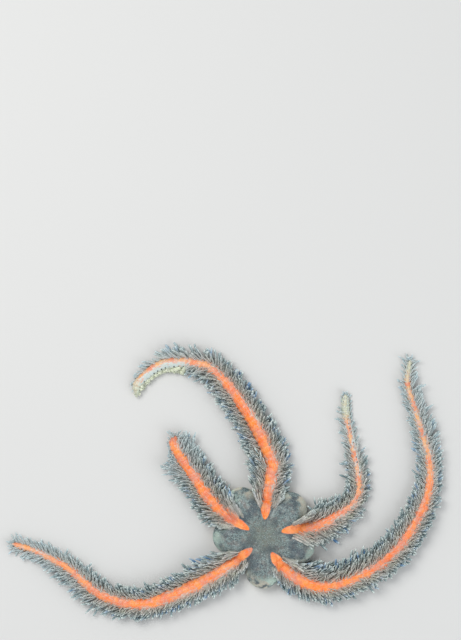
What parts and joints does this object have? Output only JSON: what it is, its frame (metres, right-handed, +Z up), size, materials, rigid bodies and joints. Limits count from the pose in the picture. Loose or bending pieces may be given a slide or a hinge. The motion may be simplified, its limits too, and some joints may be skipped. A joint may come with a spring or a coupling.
{
  "type": "brittle star",
  "caption": "Life-size still model of a spiny brittle star lying flat: a lobed disc with jaws beneath and curved, tapering arms fringed with spines.",
  "frame": {"origin": "on the floor, under the middle of the whole star's bounding box", "axes": "+Z up from the floor to the upper side, +X along the star's widest spread, +Y towards the top of the picture"},
  "size_m": [0.0753, 0.0478, 0.0048],
  "materials": {
    "disc_skin": "soft grey-blue skin with fine pale grains",
    "arm": "orange back, cream underside, glassy blue-grey spines",
    "mouth": "cream plates"
  },
  "bodies": {
    "root": {"disc": "disc_skin", "jaws": "mouth", "arm_right_long_base": "arm", "arm_right_long_inner": "arm", "arm_right_long_outer": "arm", "arm_right_long_tip": "arm", "arm_right_short_base": "arm", "arm_right_short_middle": "arm", "arm_right_short_tip": "arm", "arm_top_base": "arm", "arm_top_inner": "arm", "arm_top_outer": "arm", "arm_top_tip": "arm", "arm_left_short_base": "arm", "arm_left_short_tip": "arm", "arm_left_long_base": "arm", "arm_left_long_inner": "arm", "arm_left_long_tip": "arm"}
  },
  "joints": []
}
